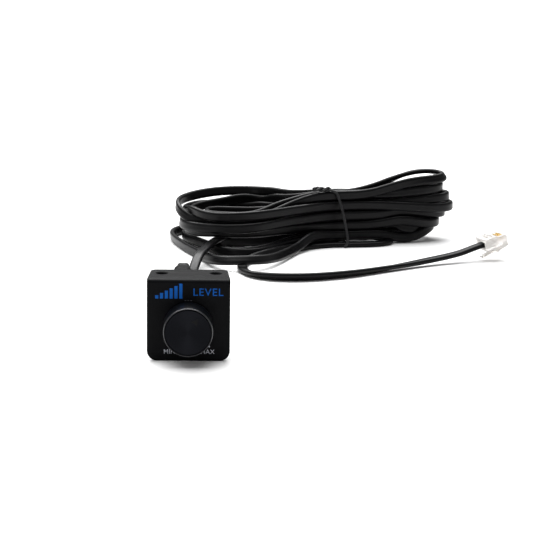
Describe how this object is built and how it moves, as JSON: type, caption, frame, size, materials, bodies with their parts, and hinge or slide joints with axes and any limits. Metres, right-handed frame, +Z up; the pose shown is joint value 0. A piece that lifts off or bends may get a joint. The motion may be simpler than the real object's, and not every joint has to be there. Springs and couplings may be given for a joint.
{
  "type": "wired rotary level control",
  "caption": "Small rotary level control on an L-shaped under-dash bracket, with a tied hank of flat cord ending in a clear modular plug.",
  "frame": {"origin": "centre of the base of the box round the control unit (knob to strain relief), on the surface it stands on", "axes": "+Z up, -Y out through the knob, +Y to the rear where the cord leaves, +X to the right seen from the knob side"},
  "size_m": [0.1745, 0.2853, 0.036],
  "materials": {
    "bracket_paint": "semi-matt black powder coat",
    "pod_plastic": "fine texture",
    "knob_plastic": "smooth satin",
    "knob_disc": "turned, dark anodised",
    "steel": "plain",
    "brass": "plain",
    "gold": "gold plated",
    "board": "solder resist",
    "chip": "moulded",
    "ceramic": "ceramic",
    "track_ink": "printed carbon",
    "cord_jacket": "satin PVC",
    "boot_rubber": "moulded PVC",
    "tie_black": "coated wire",
    "clear_plastic": "clear polycarbonate",
    "wire_black": "PVC",
    "wire_red": "PVC",
    "wire_green": "PVC",
    "wire_yellow": "PVC"
  },
  "bodies": {
    "unit": {"board_capacitor": "ceramic", "board_resistor_1": "chip", "board_resistor_2": "chip", "buffer_chip": "chip", "bushing_nut": "steel", "circuit_board": "board", "cord_ferrule": "steel", "cord_hank": "cord_jacket", "cord_lead": "cord_jacket", "cord_tail": "cord_jacket", "cord_tie": "tie_black", "jacket_end": "cord_jacket", "lead_wire_1": "wire_black", "lead_wire_2": "wire_red", "lead_wire_3": "wire_green", "lead_wire_4": "wire_yellow", "lock_washer": "steel", "mounting_bracket": "bracket_paint", "plug_anchor": "clear_plastic", "plug_body": "clear_plastic", "plug_contact_1": "gold", "plug_contact_2": "gold", "plug_contact_3": "gold", "plug_contact_4": "gold", "pod_post_1": "brass", "pod_post_2": "brass", "pod_post_3": "brass", "pod_post_4": "brass", "pod_screw_1": "steel", "pod_screw_2": "steel", "pod_screw_3": "steel", "pod_screw_4": "steel", "pod_shell": "pod_plastic", "pot_base": "pod_plastic", "pot_frame": "steel", "pot_terminal_1": "steel", "pot_terminal_2": "steel", "pot_terminal_3": "steel", "pot_track": "track_ink", "strain_relief": "boot_rubber"},
    "dial": {"pot_shaft": "steel", "pot_wiper": "brass", "knob_insert": "brass", "knob_body": "knob_plastic", "knob_face": "knob_disc", "knob_pointer": "chip"},
    "latch": {"plug_latch": "clear_plastic"}
  },
  "joints": [
    {"name": "knob_turn", "type": "hinge", "parent": "unit", "child": "dial", "pos_m": [0, -0.015, 0.0144], "axis": [0, 1, 0], "range_deg": [-169, 101]},
    {"name": "plug_latch_press", "type": "hinge", "parent": "unit", "child": "latch", "pos_m": [0.15563, 0.196, 0.00695], "axis": [-0.4067, 0.9135, 0], "range_deg": [0, 7], "stiffness_Nm_per_rad": 0.05}
  ]
}
